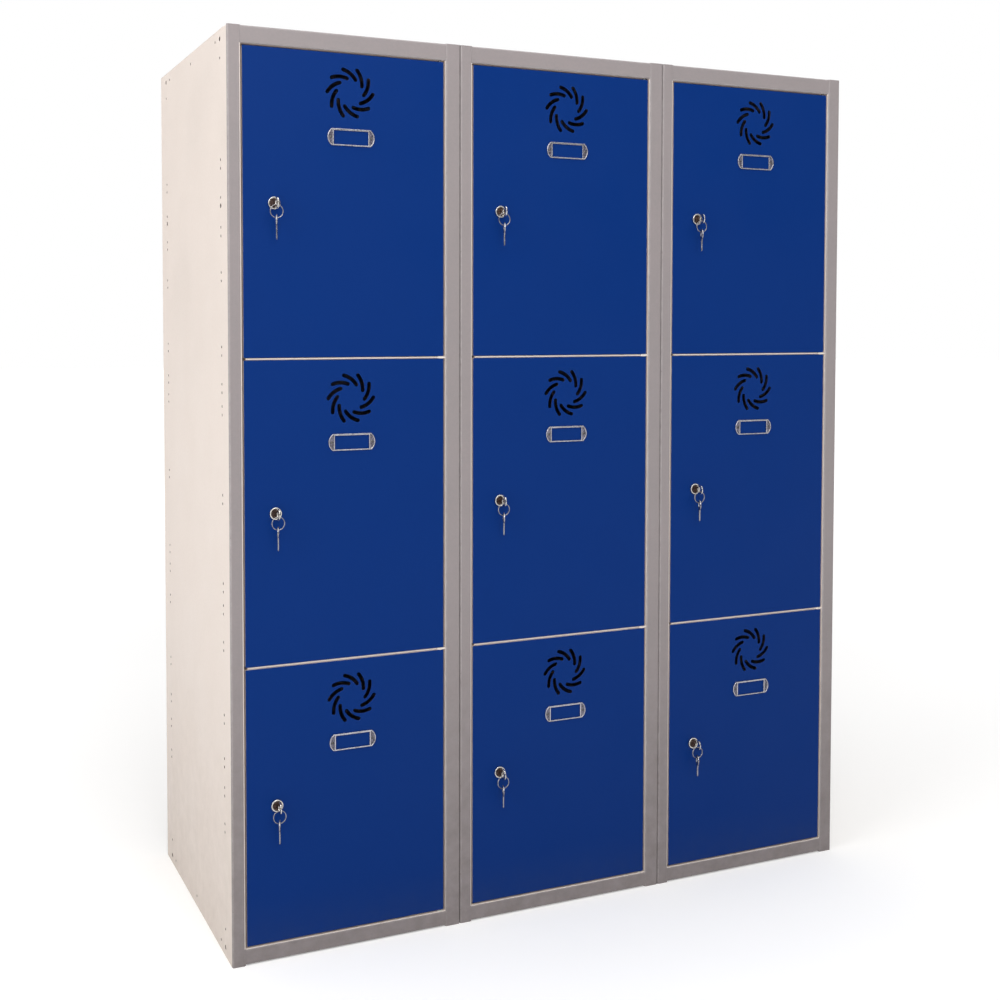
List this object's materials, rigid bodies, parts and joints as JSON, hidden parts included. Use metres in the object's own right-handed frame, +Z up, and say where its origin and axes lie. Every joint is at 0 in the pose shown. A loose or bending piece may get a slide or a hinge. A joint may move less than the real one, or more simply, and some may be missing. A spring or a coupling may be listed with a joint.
{
  "type": "locker cabinet",
  "caption": "Free-standing sheet-steel locker cabinet: joined upright units with stacked compartments, hinged vented doors with cam locks, keys on rings, shelves and welded front frames.",
  "frame": {"origin": "on the floor, under the middle of the whole cabinet with its keys", "axes": "+X to the right as one faces the doors, -Y out of the doors, +Z up"},
  "size_m": [1.1994, 0.5254, 1.5],
  "materials": {
    "cream_paint": "fine textured powder coat, light cream",
    "grey_paint": "smooth satin warm grey paint",
    "blue_paint": "smooth satin deep blue powder coat",
    "nickel_plate": "bright nickel plate",
    "key_steel": "plated steel, lightly worn",
    "smoked_plastic": "smoked plastic ends of the label holders, which the solids leave out",
    "white_nylon": "white nylon of the hinge washers, which the solids leave out"
  },
  "bodies": {
    "carcass": {"unit1_side_left": "cream_paint", "unit1_side_right": "cream_paint", "unit1_back_panel": "cream_paint", "unit1_top_panel": "cream_paint", "unit1_base_panel": "cream_paint", "unit1_front_frame": "grey_paint", "unit1_upper_shelf": "cream_paint", "unit1_lower_shelf": "cream_paint", "unit2_side_left": "cream_paint", "unit2_side_right": "cream_paint", "unit2_back_panel": "cream_paint", "unit2_top_panel": "cream_paint", "unit2_base_panel": "cream_paint", "unit2_front_frame": "grey_paint", "unit2_upper_shelf": "cream_paint", "unit2_lower_shelf": "cream_paint", "unit3_side_left": "cream_paint", "unit3_side_right": "cream_paint", "unit3_back_panel": "cream_paint", "unit3_top_panel": "cream_paint", "unit3_base_panel": "cream_paint", "unit3_front_frame": "grey_paint", "unit3_upper_shelf": "cream_paint", "unit3_lower_shelf": "cream_paint"},
    "door_1_top": {"unit1_top_door": "blue_paint", "unit1_top_lock_body": "nickel_plate"},
    "lock_1_top": {"unit1_top_lock_plug": "nickel_plate"},
    "keys_1_top": {"unit1_top_key_ring": "key_steel"},
    "door_1_middle": {"unit1_middle_door": "blue_paint", "unit1_middle_lock_body": "nickel_plate"},
    "lock_1_middle": {"unit1_middle_lock_plug": "nickel_plate"},
    "keys_1_middle": {"unit1_middle_key_ring": "key_steel"},
    "door_1_bottom": {"unit1_bottom_door": "blue_paint", "unit1_bottom_lock_body": "nickel_plate"},
    "lock_1_bottom": {"unit1_bottom_lock_plug": "nickel_plate"},
    "keys_1_bottom": {"unit1_bottom_key_ring": "key_steel"},
    "door_2_top": {"unit2_top_door": "blue_paint", "unit2_top_lock_body": "nickel_plate"},
    "lock_2_top": {"unit2_top_lock_plug": "nickel_plate"},
    "keys_2_top": {"unit2_top_key_ring": "key_steel"},
    "door_2_middle": {"unit2_middle_door": "blue_paint", "unit2_middle_lock_body": "nickel_plate"},
    "lock_2_middle": {"unit2_middle_lock_plug": "nickel_plate"},
    "keys_2_middle": {"unit2_middle_key_ring": "key_steel"},
    "door_2_bottom": {"unit2_bottom_door": "blue_paint", "unit2_bottom_lock_body": "nickel_plate"},
    "lock_2_bottom": {"unit2_bottom_lock_plug": "nickel_plate"},
    "keys_2_bottom": {"unit2_bottom_key_ring": "key_steel"},
    "door_3_top": {"unit3_top_door": "blue_paint", "unit3_top_lock_body": "nickel_plate"},
    "lock_3_top": {"unit3_top_lock_plug": "nickel_plate"},
    "keys_3_top": {"unit3_top_key_ring": "key_steel"},
    "door_3_middle": {"unit3_middle_door": "blue_paint", "unit3_middle_lock_body": "nickel_plate"},
    "lock_3_middle": {"unit3_middle_lock_plug": "nickel_plate"},
    "keys_3_middle": {"unit3_middle_key_ring": "key_steel"},
    "door_3_bottom": {"unit3_bottom_door": "blue_paint", "unit3_bottom_lock_body": "nickel_plate"},
    "lock_3_bottom": {"unit3_bottom_lock_plug": "nickel_plate"},
    "keys_3_bottom": {"unit3_bottom_key_ring": "key_steel"}
  },
  "joints": [
    {"name": "top_door_1_hinge", "type": "hinge", "parent": "carcass", "child": "door_1_top", "pos_m": [-0.2353, -0.23075, 1.224], "axis": [0, 0, 1], "range_deg": [0, 110]},
    {"name": "top_lock_1_turn", "type": "hinge", "parent": "door_1_top", "child": "lock_1_top", "pos_m": [-0.5252, -0.23575, 1.224], "axis": [0, 1, 0], "range_deg": [0, 90]},
    {"name": "top_keys_1_swing", "type": "hinge", "parent": "lock_1_top", "child": "keys_1_top", "pos_m": [-0.5252, -0.25325, 1.217], "axis": [0, 1, 0], "range_deg": [-90, 0]},
    {"name": "middle_door_1_hinge", "type": "hinge", "parent": "carcass", "child": "door_1_middle", "pos_m": [-0.2353, -0.23075, 0.729], "axis": [0, 0, 1], "range_deg": [0, 110]},
    {"name": "middle_lock_1_turn", "type": "hinge", "parent": "door_1_middle", "child": "lock_1_middle", "pos_m": [-0.5252, -0.23575, 0.729], "axis": [0, 1, 0], "range_deg": [0, 90]},
    {"name": "middle_keys_1_swing", "type": "hinge", "parent": "lock_1_middle", "child": "keys_1_middle", "pos_m": [-0.5252, -0.25325, 0.722], "axis": [0, 1, 0], "range_deg": [-90, 0]},
    {"name": "bottom_door_1_hinge", "type": "hinge", "parent": "carcass", "child": "door_1_bottom", "pos_m": [-0.2353, -0.23075, 0.25475], "axis": [0, 0, 1], "range_deg": [0, 110]},
    {"name": "bottom_lock_1_turn", "type": "hinge", "parent": "door_1_bottom", "child": "lock_1_bottom", "pos_m": [-0.5252, -0.23575, 0.25475], "axis": [0, 1, 0], "range_deg": [0, 90]},
    {"name": "bottom_keys_1_swing", "type": "hinge", "parent": "lock_1_bottom", "child": "keys_1_bottom", "pos_m": [-0.5252, -0.25325, 0.24775], "axis": [0, 1, 0], "range_deg": [-90, 0]},
    {"name": "top_door_2_hinge", "type": "hinge", "parent": "carcass", "child": "door_2_top", "pos_m": [0.1647, -0.23075, 1.224], "axis": [0, 0, 1], "range_deg": [0, 110]},
    {"name": "top_lock_2_turn", "type": "hinge", "parent": "door_2_top", "child": "lock_2_top", "pos_m": [-0.1252, -0.23575, 1.224], "axis": [0, 1, 0], "range_deg": [0, 90]},
    {"name": "top_keys_2_swing", "type": "hinge", "parent": "lock_2_top", "child": "keys_2_top", "pos_m": [-0.1252, -0.25325, 1.217], "axis": [0, 1, 0], "range_deg": [-90, 0]},
    {"name": "middle_door_2_hinge", "type": "hinge", "parent": "carcass", "child": "door_2_middle", "pos_m": [0.1647, -0.23075, 0.729], "axis": [0, 0, 1], "range_deg": [0, 110]},
    {"name": "middle_lock_2_turn", "type": "hinge", "parent": "door_2_middle", "child": "lock_2_middle", "pos_m": [-0.1252, -0.23575, 0.729], "axis": [0, 1, 0], "range_deg": [0, 90]},
    {"name": "middle_keys_2_swing", "type": "hinge", "parent": "lock_2_middle", "child": "keys_2_middle", "pos_m": [-0.1252, -0.25325, 0.722], "axis": [0, 1, 0], "range_deg": [-90, 0]},
    {"name": "bottom_door_2_hinge", "type": "hinge", "parent": "carcass", "child": "door_2_bottom", "pos_m": [0.1647, -0.23075, 0.25475], "axis": [0, 0, 1], "range_deg": [0, 110]},
    {"name": "bottom_lock_2_turn", "type": "hinge", "parent": "door_2_bottom", "child": "lock_2_bottom", "pos_m": [-0.1252, -0.23575, 0.25475], "axis": [0, 1, 0], "range_deg": [0, 90]},
    {"name": "bottom_keys_2_swing", "type": "hinge", "parent": "lock_2_bottom", "child": "keys_2_bottom", "pos_m": [-0.1252, -0.25325, 0.24775], "axis": [0, 1, 0], "range_deg": [-90, 0]},
    {"name": "top_door_3_hinge", "type": "hinge", "parent": "carcass", "child": "door_3_top", "pos_m": [0.5647, -0.23075, 1.224], "axis": [0, 0, 1], "range_deg": [0, 110]},
    {"name": "top_lock_3_turn", "type": "hinge", "parent": "door_3_top", "child": "lock_3_top", "pos_m": [0.2748, -0.23575, 1.224], "axis": [0, 1, 0], "range_deg": [0, 90]},
    {"name": "top_keys_3_swing", "type": "hinge", "parent": "lock_3_top", "child": "keys_3_top", "pos_m": [0.2748, -0.25325, 1.217], "axis": [0, 1, 0], "range_deg": [-90, 0]},
    {"name": "middle_door_3_hinge", "type": "hinge", "parent": "carcass", "child": "door_3_middle", "pos_m": [0.5647, -0.23075, 0.729], "axis": [0, 0, 1], "range_deg": [0, 110]},
    {"name": "middle_lock_3_turn", "type": "hinge", "parent": "door_3_middle", "child": "lock_3_middle", "pos_m": [0.2748, -0.23575, 0.729], "axis": [0, 1, 0], "range_deg": [0, 90]},
    {"name": "middle_keys_3_swing", "type": "hinge", "parent": "lock_3_middle", "child": "keys_3_middle", "pos_m": [0.2748, -0.25325, 0.722], "axis": [0, 1, 0], "range_deg": [-90, 0]},
    {"name": "bottom_door_3_hinge", "type": "hinge", "parent": "carcass", "child": "door_3_bottom", "pos_m": [0.5647, -0.23075, 0.25475], "axis": [0, 0, 1], "range_deg": [0, 110]},
    {"name": "bottom_lock_3_turn", "type": "hinge", "parent": "door_3_bottom", "child": "lock_3_bottom", "pos_m": [0.2748, -0.23575, 0.25475], "axis": [0, 1, 0], "range_deg": [0, 90]},
    {"name": "bottom_keys_3_swing", "type": "hinge", "parent": "lock_3_bottom", "child": "keys_3_bottom", "pos_m": [0.2748, -0.25325, 0.24775], "axis": [0, 1, 0], "range_deg": [-90, 0]}
  ],
  "couplings": [
    {"joint": "top_keys_1_swing", "follows": "top_lock_1_turn", "ratio": -1},
    {"joint": "middle_keys_1_swing", "follows": "middle_lock_1_turn", "ratio": -1},
    {"joint": "bottom_keys_1_swing", "follows": "bottom_lock_1_turn", "ratio": -1},
    {"joint": "top_keys_2_swing", "follows": "top_lock_2_turn", "ratio": -1},
    {"joint": "middle_keys_2_swing", "follows": "middle_lock_2_turn", "ratio": -1},
    {"joint": "bottom_keys_2_swing", "follows": "bottom_lock_2_turn", "ratio": -1},
    {"joint": "top_keys_3_swing", "follows": "top_lock_3_turn", "ratio": -1},
    {"joint": "middle_keys_3_swing", "follows": "middle_lock_3_turn", "ratio": -1},
    {"joint": "bottom_keys_3_swing", "follows": "bottom_lock_3_turn", "ratio": -1}
  ]
}
